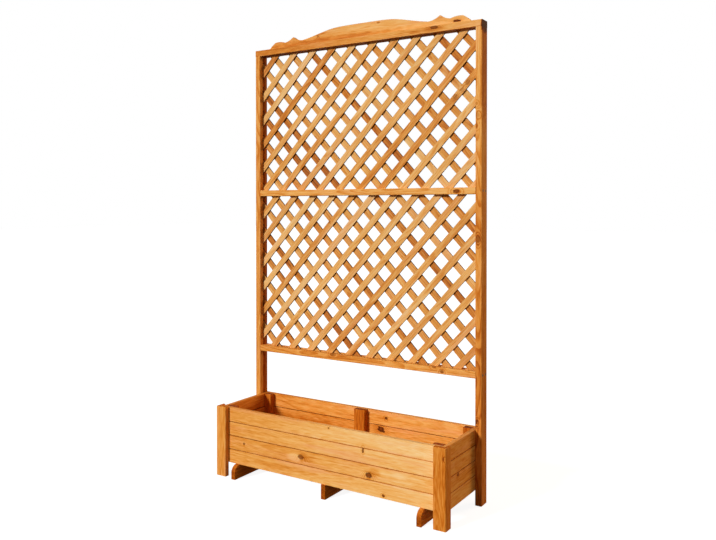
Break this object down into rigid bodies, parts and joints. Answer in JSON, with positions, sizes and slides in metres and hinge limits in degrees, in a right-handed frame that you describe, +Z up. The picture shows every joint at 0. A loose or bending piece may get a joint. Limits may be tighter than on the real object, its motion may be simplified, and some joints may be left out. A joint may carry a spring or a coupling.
{
  "type": "planter with trellis",
  "caption": "Timber trough planter on feet with a tall trellis back: crossed slats in a grooved frame under a shaped crown board.",
  "frame": {"origin": "on the floor, in the middle of the overall width and depth", "axes": "+Z up, +X to the right seen from the front, +Y towards the trellis at the back"},
  "size_m": [1.005, 0.308, 1.7375],
  "materials": {
    "frame_wood": "stained pine, planed, low sheen",
    "lattice_wood": "stained pine slats, low sheen",
    "board_wood": "stained pine boards, planed, low sheen",
    "rough_wood": "stained sawn pine",
    "screw_steel": "dulled zinc plating"
  },
  "bodies": {
    "root": {"left_upright": "frame_wood", "right_upright": "frame_wood", "lower_rail": "frame_wood", "middle_rail": "frame_wood", "top_rail": "frame_wood", "upper_lattice_front": "lattice_wood", "upper_lattice_back": "lattice_wood", "lower_lattice_front": "lattice_wood", "lower_lattice_back": "lattice_wood", "crown_board": "frame_wood", "front_board_1": "board_wood", "front_board_2": "board_wood", "front_board_3": "board_wood", "front_board_4": "board_wood", "back_board_1": "board_wood", "back_board_2": "board_wood", "back_board_3": "board_wood", "back_board_4": "board_wood", "left_end_board_1": "board_wood", "left_end_board_2": "board_wood", "left_end_board_3": "board_wood", "left_end_board_4": "board_wood", "right_end_board_1": "board_wood", "right_end_board_2": "board_wood", "right_end_board_3": "board_wood", "right_end_board_4": "board_wood", "left_front_leg": "board_wood", "right_front_leg": "board_wood", "left_front_batten": "rough_wood", "right_front_batten": "rough_wood", "left_rear_batten": "rough_wood", "right_rear_batten": "rough_wood", "centre_batten": "rough_wood", "floor_board_1": "rough_wood", "floor_board_2": "rough_wood", "floor_board_3": "rough_wood", "floor_board_4": "rough_wood", "left_foot": "rough_wood", "right_foot": "rough_wood", "middle_foot": "rough_wood", "rail_screws": "screw_steel", "top_rail_screws": "screw_steel", "crown_screws": "screw_steel"}
  },
  "joints": []
}
